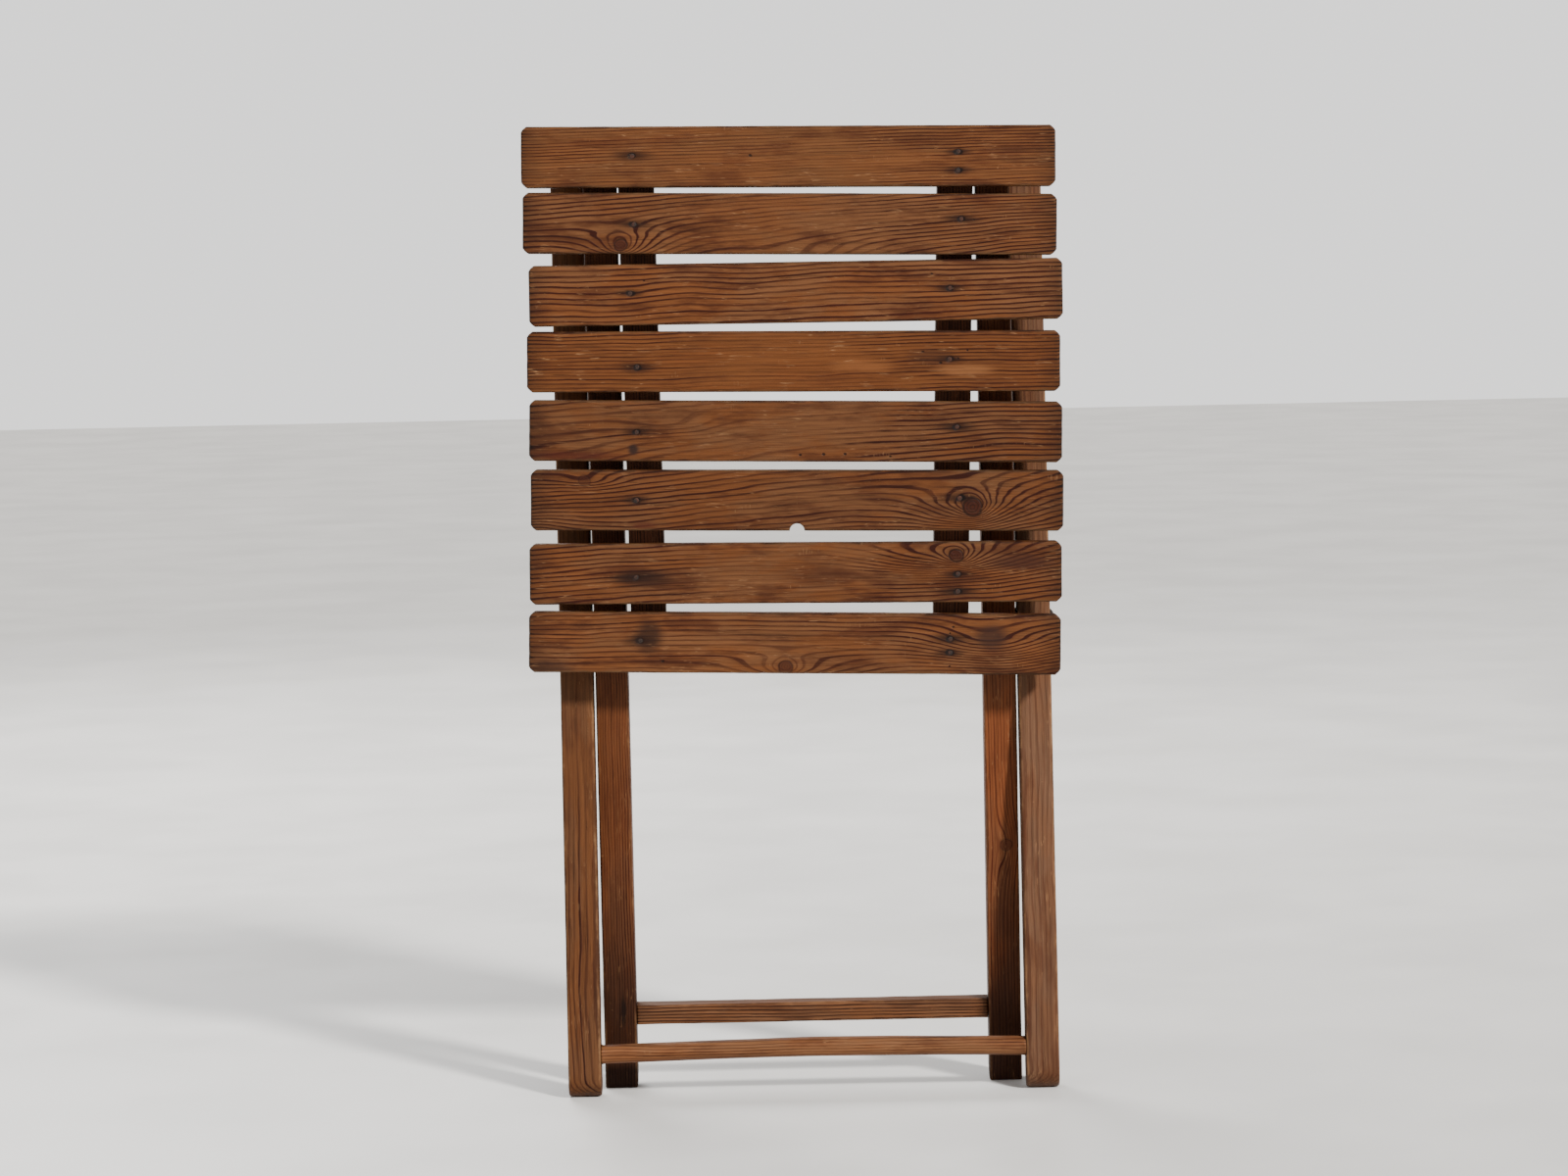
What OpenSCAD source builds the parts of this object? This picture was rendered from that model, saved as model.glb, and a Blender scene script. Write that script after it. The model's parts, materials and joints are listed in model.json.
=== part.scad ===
// Folding slatted table, folded flat and standing upright on its own leg ends.
// Three rigid groups turn on two pairs of bolts: the slatted top, the inner leg
// frame bolted to the top's battens, and the outer leg frame that crosses the
// inner one at mid length. +Z is up, the slats face -Y, and the origin lies on
// the floor under the middle of the bounding box. Lengths are in millimetres.

/* [Table top] */
// Length of each slat, across the table
slat_len = 462; // [400:1:700]
// Width of each slat
slat_w = 53; // [40:0.1:90]
// Thickness of each slat
slat_t = 18; // [12:0.5:30]
// Radius of the slats' corners in plan
slat_corner_r = 5; // [1:0.5:12]
// Gaps between neighbouring slats, hinge edge first
slat_gaps = [5, 6.3, 6.6, 7.5, 6.9, 9.9, 8.1];
// Sideways offset of each slat from the frames' centre line
slat_shift = [-6, -6, -2, -5, -4.5, -4.5, -7, -9];
// Angle by which each slat was nailed out of square, right end low
slat_skew = [0.95, 1.3, 0.3, 1.02, 1.35, 1.24, 0.84, 1.5];
// Radius of the half-round notch in one slat's edge
notch_r = 6.4; // [3:0.1:12]
// Number of the slat that has the notch
notch_slat = 6; // [1:1:8]
// Width of a batten
batten_w = 31; // [20:1:50]
// Depth of a batten, square to the slats
batten_d = 30; // [24:1:50]
// How far the battens stop short of the top's edges
batten_inset = 8; // [4:1:20]
// Angle by which the left batten runs inward
batten_skew_left = 0.4; // [0:0.1:1]
// Angle by which the right batten runs inward
batten_skew_right = 1.6; // [0:0.1:2]
// Depth of the seat that holds the crossbar when the table is open
seat_depth = 4; // [2:0.5:8]

/* [Leg frames] */
// Distance between the inner faces of the inner legs
frame_inside = 312; // [250:1:500]
// Width of a leg
leg_w = 29; // [20:1:40]
// Depth of a leg, front to back when folded
leg_d = 32; // [24:1:50]
// Distance of the top pivot from the hinge edge of the top
pivot_inset = 25; // [22:1:40]
// Distance between the top pivot and the scissor pivot
pivot_span = 410; // [380:1:440]
// Distance from the scissor pivot to the sole of a foot
foot_reach = 409; // [380:1:450]
// Distance from the scissor pivot to a foot stretcher
stretcher_reach = 346; // [250:1:360]
// Distance from the scissor pivot to the crossbar
crossbar_reach = 375; // [340:1:390]
// Side of a foot stretcher
stretcher_side = 18; // [14:1:24]
// Diameter of the crossbar
crossbar_dia = 18; // [14:1:22]
// Diameter of the crossbar's round tenons
crossbar_tenon_dia = 12; // [8:1:14]
// Side of the stretchers' square tenons
tenon_side = 10; // [6:1:12]
// Length of every tenon
tenon_len = 14; // [8:1:20]
// Front part of an inner foot that is cut blunt, to stand on when folded
foot_blunt = 14; // [6:1:20]

/* [Hardware] */
// Diameter of the pivot bolts
bolt_dia = 8; // [6:0.5:10]
// Diameter of a bolt's domed head
bolt_head_dia = 18; // [14:1:20]
// Height of a bolt's domed head
bolt_head_h = 4.5; // [3:0.5:6]
// Width of a nut across its flats
nut_flats = 13; // [10:1:15]
// Height of a nut
nut_h = 6.5; // [5:0.5:8]
// Outer diameter of a washer
washer_dia = 20; // [16:1:22]
// Thickness of the washer between two timbers
washer_t = 1.6; // [1.5:0.1:4]
// Diameter of a nail's shank
nail_dia = 2.8; // [2:0.1:4]
// Diameter of a nail's head
nail_head_dia = 6; // [5:0.1:8]
// Thickness of a nail's head
nail_head_t = 1; // [0.5:0.1:1.5]
// Depth that a slat nail reaches into the batten
nail_bite = 11; // [6:0.5:12]
// Length of a nail that holds a bar's end
bar_nail_len = 34; // [20:1:40]

/* [Folding] */
// Backward lean of the top when the folded table stands
lean = 2; // [0:0.1:4]
// Half the angle between the two leg frames when folded
fold_rest = 3.5; // [2.5:0.1:5]
// Half the angle between the two leg frames when the table is open
fold_open = 58.5; // [50:0.5:62]

/* [Clearances] */
// Radial clearance of a bolt in its hole
bolt_fit = 0.08; // [0.02:0.01:0.1]
// Gap between faces that turn past each other
turn_gap = 0.3; // [0.2:0.1:0.6]
// Gap between the legs' ends and the back of the slats
sweep_gap = 1; // [0.5:0.1:3]
// Clearance round a tenon
tenon_fit = 0.1; // [0.02:0.01:0.3]
// Radial clearance of a nail in its hole
nail_fit = 0.02; // [0.01:0.01:0.1]
// Room round a nut in its counterbore
nut_room = 1; // [0.5:0.1:2]

/* [Hidden] */
$fn = 64;
SIDES = ["left", "right"];

PALE_WOOD = "#a9713f";
MID_WOOD = "#8a5f3c";
DARK_WOOD = "#5c4030";
IRON = "#3d3a38";
EPS = 0.01;

leg_r = leg_d / 2;
crossbar_r = crossbar_dia / 2;
bore_r = bolt_dia / 2 + bolt_fit;
nail_bore_r = nail_dia / 2 + nail_fit;

// Where the faces lie across the table, measured from the centre line outward
inner_leg_x = frame_inside / 2;
outer_leg_x = inner_leg_x + leg_w + washer_t;
batten_x = inner_leg_x - washer_t - batten_w;
outer_face_x = outer_leg_x + leg_w;
crossbar_half = outer_leg_x;

// Depths in the top's own frame, whose axis is the top pivot
slat_back = -(leg_r + sweep_gap);
slat_front = slat_back - slat_t;
batten_back = slat_back + batten_d;
top_edge = pivot_inset;
slat_count = len(slat_shift);

function sum_to(list, n, i = 0) = i >= n ? 0 : list[i] + sum_to(list, n, i + 1);
function slat_z(n) = top_edge - slat_w * (n - 0.5) - sum_to(slat_gaps, n - 1);
top_bottom = slat_z(slat_count) - slat_w / 2;

// The crossbar lies flush with the outer legs' front faces and the outer
// stretcher flush with their back faces
crossbar_y = crossbar_r - leg_r;
outer_stretcher_y = leg_r - stretcher_side / 2;

// Turning a point [y, z] about the X axis
function turn(p, t) = [p[0] * cos(t) - p[1] * sin(t), p[0] * sin(t) + p[1] * cos(t)];

top_tilt = -lean;
inner_tilt = fold_rest - lean;
outer_tilt = -fold_rest - lean;

// The inner feet are cut to the open table's angle, and blunt at the front so
// that they stand level when the table is folded
sole_rise = 1 / tan(fold_open);
blunt_y = foot_blunt - leg_r;
blunt_z = -foot_reach + blunt_y * sole_rise;
blunt_front_z = blunt_z - (-leg_r - blunt_y) * tan(inner_tilt);

// Height of the scissor pivot with the blunt soles on the floor, and the
// position along the outer legs of their rounded ends, which reach the floor too
scissor_z = -turn([blunt_y, blunt_z], inner_tilt)[1];
outer_end = (scissor_z - leg_r) / cos(outer_tilt);

// Places in the standing frame before it is centred
scissor_0 = [0, scissor_z];
top_pivot_0 = scissor_0 + turn([0, pivot_span], inner_tilt);
front_ys = [
    for (z = [top_edge, top_bottom]) (top_pivot_0 + turn([slat_front, z], top_tilt))[0],
    (scissor_0 + turn([0, -outer_end], outer_tilt))[0] - leg_r
];
outer_heel = [leg_r, foot_reach - leg_r * sole_rise];
outer_toe = [-leg_r, foot_reach + leg_r * sole_rise];
back_ys = [
    (scissor_0 + turn(outer_heel, outer_tilt))[0],
    (scissor_0 + turn(outer_toe, outer_tilt))[0],
    (scissor_0 + turn([leg_r, -foot_reach + leg_r * sole_rise], inner_tilt))[0]
];
function slat_end(n, side) =
    slat_shift[n - 1] + side * (slat_len - 2 * slat_corner_r) / 2 * cos(slat_skew[n - 1])
    + side * slat_corner_r;
left_end = min([for (n = [1:slat_count]) slat_end(n, -1)]);
right_end = max([for (n = [1:slat_count]) slat_end(n, 1)]);
centre_x = (left_end + right_end) / 2;
centre_y = (min(front_ys) + max(back_ys)) / 2;

scissor_at = [-centre_x, scissor_0[0] - centre_y, scissor_0[1]];
top_pivot_at = [-centre_x, top_pivot_0[0] - centre_y, top_pivot_0[1]];

// Where the crossbar comes to lie under the battens when the table is open
open_bar = [pivot_span * sin(fold_open), -pivot_span * cos(fold_open)]
    + turn([crossbar_y, -crossbar_reach], -fold_open);

// The pivots in the inner frame, as [y, z], and the room that a skewed batten
// needs beside the top pivot's washer and nut
scissor = [0, 0];
top_pivot = [0, pivot_span];
batten_play = washer_dia / 2 * tan(max(batten_skew_left, batten_skew_right));
top_washer_t = washer_t - turn_gap - batten_play;
top_nut_x = batten_x - turn_gap - batten_play - nut_h;

// Slat nails, as [slat, offset from the batten's centre line, height on the slat]
nails_left = [
    [1, -2, 3], [2, -2, 2], [3, -7, 2], [4, -3, -2],
    [5, -5, 2], [6, -7, 3], [7, -9, -1], [8, -7, 5]
];
nails_right = [
    [1, 2, 1], [1, 2, -15], [2, 5, 1], [3, -4, 1], [4, -4, -1], [5, 3, 1],
    [6, 6, -1], [7, 5, -4], [7, 5, -19], [8, -1, 1], [8, -1, -11]
];
function batten_mid(side) = side * (batten_x + batten_w / 2);
function batten_turn(side) = side > 0 ? batten_skew_right : -batten_skew_left;
function batten_centre(side, z) = batten_mid(side) + z * tan(batten_turn(side));
function nail_place(side, nail) = [
    batten_centre(side, slat_z(nail[0]) + nail[2]) + nail[1],
    slat_z(nail[0]) + nail[2]
];

// Frames of the three groups
module in_top() {
    translate(top_pivot_at) rotate([top_tilt, 0, 0]) children();
}

module in_inner() {
    translate(scissor_at) rotate([inner_tilt, 0, 0]) children();
}

module in_outer() {
    translate(scissor_at) rotate([outer_tilt, 0, 0]) children();
}

// A side profile [y, z] given a width across the table, from x outward on a side
module profile(side, x, w) {
    translate([side > 0 ? x : -x - w, 0, 0]) rotate([90, 0, 90]) linear_extrude(w) children();
}

// A round bar along X from x outward on a side, at [y, z]
module rod(side, x, w, r, at = [0, 0]) {
    translate([side > 0 ? x : -x - w, at[0], at[1]]) rotate([0, 90, 0]) cylinder(h = w, r = r);
}

// A square bar along X from x outward on a side, at [y, z]
module square_bar(side, x, w, edge, at = [0, 0]) {
    translate([side > 0 ? x : -x - w, at[0] - edge / 2, at[1] - edge / 2])
        cube([w, edge, edge]);
}

module rounded_plate(size, r) {
    square([size[0] - 2 * r, size[1]], center = true);
    square([size[0], size[1] - 2 * r], center = true);
    for (x = [-1, 1], y = [-1, 1])
        translate([x * (size[0] / 2 - r), y * (size[1] / 2 - r)]) circle(r);
}

// A nail driven along +Y, its head flush with the slat's front
module slat_nail(fit = 0) {
    rotate([-90, 0, 0]) {
        cylinder(h = slat_t + nail_bite, r = nail_dia / 2 + fit);
        cylinder(h = nail_head_t, r = nail_head_dia / 2 + fit);
    }
}

module slat_nails(side, fit = 0) {
    for (nail = side > 0 ? nails_right : nails_left) {
        at = nail_place(side, nail);
        translate([at[0], slat_front, at[1]]) slat_nail(fit);
    }
}

// A nail driven inward along X from a face, its head flush with it
module bar_nail(side, face_x, at, fit = 0) {
    rod(side, face_x - bar_nail_len, bar_nail_len, nail_dia / 2 + fit, at);
    rod(side, face_x - nail_head_t, nail_head_t, nail_head_dia / 2 + fit, at);
}

// Table top
module slat(n) {
    color(PALE_WOOD) in_top() difference() {
        translate([slat_shift[n - 1], slat_back, slat_z(n)])
            rotate([90, slat_skew[n - 1], 0])
                linear_extrude(slat_t) difference() {
                    rounded_plate([slat_len, slat_w], slat_corner_r);
                    if (n == notch_slat) translate([0, -slat_w / 2]) circle(notch_r);
                }
        for (side = [-1, 1]) slat_nails(side, nail_fit);
    }
}

module batten(side) {
    top_z = top_edge - batten_inset;
    length = top_z - top_bottom - batten_inset;
    color(DARK_WOOD) in_top() difference() {
        translate([batten_mid(side), 0, 0]) rotate([0, batten_turn(side), 0])
            translate([-batten_w / 2, slat_back, top_z - length])
                cube([batten_w, batten_d, length]);
        rod(side, batten_x - batten_w, 3 * batten_w, bore_r);
        rod(side, batten_x - batten_w, 3 * batten_w, crossbar_r + sweep_gap,
            [batten_back + crossbar_r + sweep_gap - seat_depth, open_bar[1]]);
        slat_nails(side, nail_fit);
    }
}

module slat_nail_set(side) {
    color(IRON) in_top() slat_nails(side);
}

// Inner leg frame
module inner_leg(side) {
    color(MID_WOOD) in_inner() difference() {
        profile(side, inner_leg_x, leg_w) {
            polygon([
                [-leg_r, pivot_span], [-leg_r, blunt_front_z], [blunt_y, blunt_z],
                [leg_r, -foot_reach + leg_r * sole_rise], [leg_r, pivot_span]
            ]);
            translate([0, pivot_span]) circle(leg_r);
        }
        rod(side, inner_leg_x - EPS, leg_w + 2 * EPS, bore_r);
        rod(side, inner_leg_x - EPS, leg_w + 2 * EPS, bore_r, [0, pivot_span]);
        rod(side, inner_leg_x - EPS, nut_h + nut_room + EPS, nut_flats / 2 / cos(30) + nut_room);
        square_bar(side, inner_leg_x - EPS, tenon_len + tenon_fit + EPS, tenon_side + 2 * tenon_fit,
            [0, -stretcher_reach]);
        bar_nail(side, inner_leg_x + leg_w, [0, -stretcher_reach], nail_fit);
    }
}

module stretcher(half_len, face_x, at) {
    difference() {
        union() {
            for (side = [-1, 1]) {
                square_bar(side, 0, half_len, stretcher_side, at);
                square_bar(side, half_len - EPS, tenon_len + EPS, tenon_side, at);
            }
        }
        for (side = [-1, 1]) bar_nail(side, face_x, at, nail_fit);
    }
}

module inner_stretcher() {
    color(DARK_WOOD) in_inner()
        stretcher(inner_leg_x, inner_leg_x + leg_w, [0, -stretcher_reach]);
}

module inner_stretcher_nails() {
    color(IRON) in_inner()
        for (side = [-1, 1]) bar_nail(side, inner_leg_x + leg_w, [0, -stretcher_reach]);
}

// Outer leg frame
module outer_leg(side) {
    color(MID_WOOD) in_outer() difference() {
        profile(side, outer_leg_x, leg_w) {
            polygon([outer_toe, [-leg_r, -outer_end], [leg_r, -outer_end], outer_heel]);
            translate([0, -outer_end]) circle(leg_r);
        }
        rod(side, outer_leg_x - EPS, leg_w + 2 * EPS, bore_r);
        rod(side, outer_leg_x - EPS, tenon_len + tenon_fit + EPS, crossbar_tenon_dia / 2 + tenon_fit,
            [crossbar_y, -crossbar_reach]);
        square_bar(side, outer_leg_x - EPS, tenon_len + tenon_fit + EPS, tenon_side + 2 * tenon_fit,
            [outer_stretcher_y, stretcher_reach]);
        bar_nail(side, outer_face_x, [crossbar_y, -crossbar_reach], nail_fit);
        bar_nail(side, outer_face_x, [outer_stretcher_y, stretcher_reach], nail_fit);
    }
}

module outer_stretcher() {
    color(DARK_WOOD) in_outer()
        stretcher(outer_leg_x, outer_face_x, [outer_stretcher_y, stretcher_reach]);
}

module outer_stretcher_nails() {
    color(IRON) in_outer()
        for (side = [-1, 1]) bar_nail(side, outer_face_x, [outer_stretcher_y, stretcher_reach]);
}

module crossbar() {
    at = [crossbar_y, -crossbar_reach];
    color(PALE_WOOD) in_outer() difference() {
        union() {
            translate([-crossbar_half, at[0], at[1]]) rotate([0, 90, 0])
                cylinder(h = 2 * crossbar_half, r = crossbar_r);
            for (side = [-1, 1])
                rod(side, crossbar_half - EPS, tenon_len + EPS, crossbar_tenon_dia / 2, at);
        }
        for (side = [-1, 1]) bar_nail(side, outer_face_x, at, nail_fit);
    }
}

module crossbar_nails() {
    color(IRON) in_outer()
        for (side = [-1, 1]) bar_nail(side, outer_face_x, [crossbar_y, -crossbar_reach]);
}

// Pivots. Every bolt, washer and nut belongs to the inner frame.
module bolt(side, end_x, face_x, at) {
    dome_r = (pow(bolt_head_dia / 2, 2) + pow(bolt_head_h, 2)) / 2 / bolt_head_h;
    grip = face_x - end_x;
    color(IRON) in_inner() translate([side * end_x, at[0], at[1]]) rotate([0, side * 90, 0]) {
        cylinder(h = grip + bolt_head_h / 2, r = bolt_dia / 2);
        translate([0, 0, grip]) rotate_extrude() intersection() {
            square([bolt_head_dia, bolt_head_dia]);
            translate([0, bolt_head_h - dome_r]) circle(dome_r);
        }
    }
}

module washer(side, x, thick, at) {
    color(IRON) in_inner() difference() {
        rod(side, x, thick, washer_dia / 2, at);
        rod(side, x - EPS, thick + 2 * EPS, bolt_dia / 2 + bolt_fit, at);
    }
}

module nut(side, x, at) {
    color(IRON) in_inner() difference() {
        translate([side > 0 ? x : -x - nut_h, at[0], at[1]]) rotate([0, 90, 0])
            cylinder(h = nut_h, r = nut_flats / 2 / cos(30), $fn = 6);
        rod(side, x - EPS, nut_h + 2 * EPS, bolt_dia / 2 + bolt_fit, at);
    }
}

module top_pivot_bolt(side) {
    bolt(side, top_nut_x - washer_t, inner_leg_x + leg_w, top_pivot);
}

module top_pivot_washer(side) {
    washer(side, inner_leg_x - top_washer_t, top_washer_t, top_pivot);
}

module top_pivot_nut(side) {
    nut(side, top_nut_x, top_pivot);
}

module scissor_bolt(side) {
    bolt(side, inner_leg_x + nut_room / 2, outer_face_x + turn_gap, scissor);
}

module scissor_washer(side) {
    washer(side, inner_leg_x + leg_w, washer_t - turn_gap, scissor);
}

module scissor_nut(side) {
    nut(side, inner_leg_x + nut_room, scissor);
}

for (n = [1:slat_count]) slat(n);
for (i = [0, 1]) {
    side = 2 * i - 1;
    batten(side);
    slat_nail_set(side);
    inner_leg(side);
    outer_leg(side);
    top_pivot_bolt(side);
    top_pivot_washer(side);
    top_pivot_nut(side);
    scissor_bolt(side);
    scissor_washer(side);
    scissor_nut(side);
}
inner_stretcher();
inner_stretcher_nails();
outer_stretcher();
outer_stretcher_nails();
crossbar();
crossbar_nails();
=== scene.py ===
"""The looks of an old folding slatted table, folded flat and standing upright.

Every timber is a dense rounded board built from its CAD node's own measurements,
with worn arrises, sunken nails and real bores. Each board carries its place in the
tree as a mesh attribute, and one wood material grows rings, knots, fibres, iron
stains, darker rims and ends, and painted shade in nail pits and small holes from it.
Pieces are in metres, the woods' own frames in millimetres.
"""

import json
import math

import bpy
import numpy as np
from mathutils import Euler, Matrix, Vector


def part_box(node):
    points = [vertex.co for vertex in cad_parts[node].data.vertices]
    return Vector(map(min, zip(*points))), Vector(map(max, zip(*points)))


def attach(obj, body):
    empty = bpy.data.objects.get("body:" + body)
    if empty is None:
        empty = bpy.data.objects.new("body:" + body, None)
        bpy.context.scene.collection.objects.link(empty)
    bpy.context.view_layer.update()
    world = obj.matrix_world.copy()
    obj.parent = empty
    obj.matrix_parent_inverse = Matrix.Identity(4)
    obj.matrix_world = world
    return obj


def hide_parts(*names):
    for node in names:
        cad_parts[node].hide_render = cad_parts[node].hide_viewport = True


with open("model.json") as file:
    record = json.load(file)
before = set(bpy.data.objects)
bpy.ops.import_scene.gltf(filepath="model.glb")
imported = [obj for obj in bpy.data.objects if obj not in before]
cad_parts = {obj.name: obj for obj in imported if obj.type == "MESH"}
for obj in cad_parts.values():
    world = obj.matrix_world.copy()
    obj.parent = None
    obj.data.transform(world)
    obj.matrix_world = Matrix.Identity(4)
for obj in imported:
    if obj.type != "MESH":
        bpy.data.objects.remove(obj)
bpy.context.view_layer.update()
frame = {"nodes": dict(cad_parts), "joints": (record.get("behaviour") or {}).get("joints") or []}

MM = 0.001
UP = np.array([0.0, 0.0, 1.0])
FRONT = np.array([0.0, -1.0, 0.0])
RIGHT = np.array([1.0, 0.0, 0.0])
SIDES = ("left", "right")
SLAT_COUNT = 8
CLIPPED = 1.22  # power of the curve that clips the slats' corners; 1 is straight
MIDDLE_X = frame["joints"][0]["pos_m"][0]
BOLT_HOLE = 4.1 * MM
MORTISE_GAP = 0.1 * MM


# ---- measuring


def points_of(node):
    """A CAD node's vertices, in the row frame."""
    return np.array([v.co for v in frame["nodes"][node].data.vertices])


def centre_of(node):
    low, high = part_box(node)
    return (low + high) / 2


def local_axes(node, along):
    """The rows are a timber's own axes: along the grain, across its face, to the front."""
    faces = frame["nodes"][node].data.polygons
    normals = np.array([f.normal for f in faces])
    areas = np.array([f.area for f in faces])

    def broadest(allowed):
        best = np.argmax(
            [areas[allowed & (np.abs(normals @ n) > 0.9995)].sum() for n in normals]
        )
        same = allowed & (np.abs(normals @ normals[best]) > 0.9995)
        signs = np.sign(normals[same] @ normals[best])
        total = (normals[same] * (signs * areas[same])[:, None]).sum(0)
        return total / np.linalg.norm(total)

    first = broadest(np.full(len(faces), True))
    second = broadest(np.abs(normals @ first) < 0.02)
    second = second - first * (first @ second)
    second /= np.linalg.norm(second)
    axes = [first, second, np.cross(first, second)]
    lengthwise = max(axes, key=lambda a: abs(a @ along))
    others = [a for a in axes if a is not lengthwise]
    frontal = max(others, key=lambda a: abs(a @ FRONT))
    lengthwise = lengthwise * np.sign(lengthwise @ along)
    frontal = frontal * np.sign(frontal @ FRONT)
    return np.array([lengthwise, np.cross(frontal, lengthwise), frontal])


class Timber:
    """A CAD timber's frame: axes, centre and size, in millimetres in its own axes."""

    def __init__(self, node, along):
        self.axes = local_axes(node, along)
        own = points_of(node) @ self.axes.T / MM
        low, high = own.min(0), own.max(0)
        self.centre = (low + high) / 2
        self.size = high - low
        self.corners = own - self.centre

    def inward(self, world):
        """Row-frame points in the timber's own millimetres."""
        return world @ self.axes.T / MM - self.centre

    def outward(self, own):
        """The timber's own millimetres as row-frame points."""
        return ((own + self.centre) @ self.axes) * MM

    def end_shape(self, end, reach=40):
        """Places (depth, length) of the corners of a sawn end, from front to back."""
        depth, length = self.corners[:, 2], self.corners[:, 0] * end
        near = length > length.max() - reach
        pairs = sorted({(round(a, 2), round(b, 2)) for a, b in zip(depth[near], length[near])})
        depths = sorted({a for a, _ in pairs})
        return depths, [max(b for a, b in pairs if a == depth) for depth in depths]


def clusters(points, apart):
    """The mean of each group of points that lie closer than a distance."""
    groups = []
    for p in points:
        near = [g for g in groups if np.linalg.norm(np.mean(g, 0) - p) < apart]
        if near:
            near[0].append(p)
        else:
            groups.append([p])
    return [np.mean(g, 0) for g in groups]


# ---- noise


def value_noise(points, cell, seed):
    """Smooth noise from 0 to 1 at points, with its cell size along each axis."""
    grid = points / np.asarray(cell, float) + seed * 17.31
    base = np.floor(grid).astype(np.int64)
    t = grid - base
    t = t * t * (3 - 2 * t)
    total = np.zeros(len(points))
    for corner in np.ndindex(2, 2, 2):
        at = base + corner
        mixed = at[:, 0] * 374761393 + at[:, 1] * 668265263 + at[:, 2] * 2147483647 + seed * 9176
        mixed = (mixed ^ (mixed >> 13)) * 1274126177 & 0x7FFFFFFF
        weight = np.prod(np.where(np.array(corner) == 1, t, 1 - t), 1)
        total += weight * ((mixed ^ (mixed >> 16)) % 65521 / 65521)
    return total


# ---- meshes


def new_piece(name, vertices, faces, smooth=True):
    mesh = bpy.data.meshes.new(name)
    mesh.from_pydata([tuple(v) for v in vertices], [], faces)
    mesh.validate()
    mesh.update()
    for face in mesh.polygons:
        face.use_smooth = smooth
    piece = bpy.data.objects.new(name, mesh)
    bpy.context.scene.collection.objects.link(piece)
    return piece


def settle(piece, body, nodes, material):
    """Rides the piece on its body in place of its CAD nodes and material."""
    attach(piece, body)
    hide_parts(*nodes)
    piece.data.materials.clear()
    piece.data.materials.append(material)


def ticks(half, edge, step, extra=()):
    """Grid positions across a board: close together at both arrises and at the extras."""
    near = [0, 0.35 * edge, 0.7 * edge, edge, edge + 0.9]
    inner = half - edge - 0.9
    count = max(2, round(2 * inner / step))
    places = list(np.linspace(-inner, inner, count + 1))
    places += [half - n for n in near] + [n - half for n in near]
    places += [e for e in extra if abs(e) < inner]
    places = sorted(places)
    kept = [places[0]]
    for p in places[1:]:
        if p - kept[-1] > 0.25:
            kept.append(p)
    kept[-1] = places[-1]
    return np.array(kept)


def box_lattice(xs, ys, zs):
    """The closed surface of a box cut into a grid, as points and quads."""
    number, points, faces = {}, [], []

    def at(i, j, k):
        if (i, j, k) not in number:
            number[i, j, k] = len(points)
            points.append((xs[i], ys[j], zs[k]))
        return number[i, j, k]

    counts = [len(row) - 1 for row in (xs, ys, zs)]
    for fixed, first, second, flip_end in ((2, 0, 1, 0), (1, 0, 2, 1), (0, 1, 2, 0)):
        for end in (0, 1):
            for i in range(counts[first]):
                for j in range(counts[second]):
                    quad = []
                    for a, b in ((i, j), (i + 1, j), (i + 1, j + 1), (i, j + 1)):
                        place = [end * counts[fixed]] * 3
                        place[first], place[second] = a, b
                        quad.append(at(*place))
                    faces.append(quad[::-1] if end == flip_end else quad)
    return np.array(points), faces


def soften(points, half, edge):
    """Turns the sharp arrises of a box round, by moving their grid rows onto an arc."""
    plan = np.minimum(half[0] - np.abs(points[:, 0]), half[1] - np.abs(points[:, 1]))
    deep = half[2] - np.abs(points[:, 2])
    near = (plan < edge) & (deep < edge)
    angle = math.pi / 4 * (1 + (deep - plan) / edge)
    new_plan = np.where(near, edge * (1 - np.sin(angle)), plan)
    new_deep = np.where(near, edge * (1 - np.cos(angle)), deep)
    out = points.copy()
    for axis in (0, 1):
        limit = half[axis] - np.where(near, new_plan, 0)
        out[:, axis] = np.clip(points[:, axis], -limit, limit)
    out[:, 2] = np.sign(points[:, 2]) * (half[2] - new_deep)
    return out


def round_plan(points, half, radius_low, radius_high, clipped=False):
    """Rounds the plan's corners at the low and high end of the length, or clips them."""
    out = points.copy()
    for sign, radius in ((-1, radius_low), (1, radius_high)):
        if radius <= 0:
            continue
        along = points[:, 0] * sign - (half[0] - radius)
        across = np.abs(points[:, 1]) - (half[1] - radius)
        inside = (along > 0) & (across > 0)
        square = np.maximum(along, across)
        power = CLIPPED if clipped else 2
        curve = np.maximum(along, 0) ** power + np.maximum(across, 0) ** power
        straight = curve ** (1 / power)
        scale = np.where(inside, square / np.maximum(straight, 1e-9), 1)
        out[:, 0] = np.where(inside, sign * (half[0] - radius + along * scale), out[:, 0])
        new_across = half[1] - radius + across * scale
        out[:, 1] = np.where(inside, np.sign(points[:, 1]) * new_across, out[:, 1])
    return out


def worn(points, half, seed, amount):
    """Moves the surface inward: a slow wave everywhere, and bruises along the arrises."""
    reach = np.abs(points) / half
    inset = half - np.abs(points)
    order = np.sort(inset, 1)
    arris = np.clip(1 - order[:, 1] / 3.0, 0, 1)
    slow = value_noise(points, (70, 30, 30), seed)
    bruise = np.clip(value_noise(points, (9, 6, 6), seed + 1) - 0.45, 0, 1)
    rough = value_noise(points, (3.5, 2.5, 2.5), seed + 2)
    depth = amount * (0.22 * slow + arris * (1.5 * bruise + 0.25 * rough))
    nearest = np.clip((reach - 0.9) * 10, 0, 1)
    direction = nearest * np.sign(points)
    size = np.maximum(np.linalg.norm(direction, axis=1), 1e-6)
    return points - direction / size[:, None] * depth[:, None]


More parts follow.
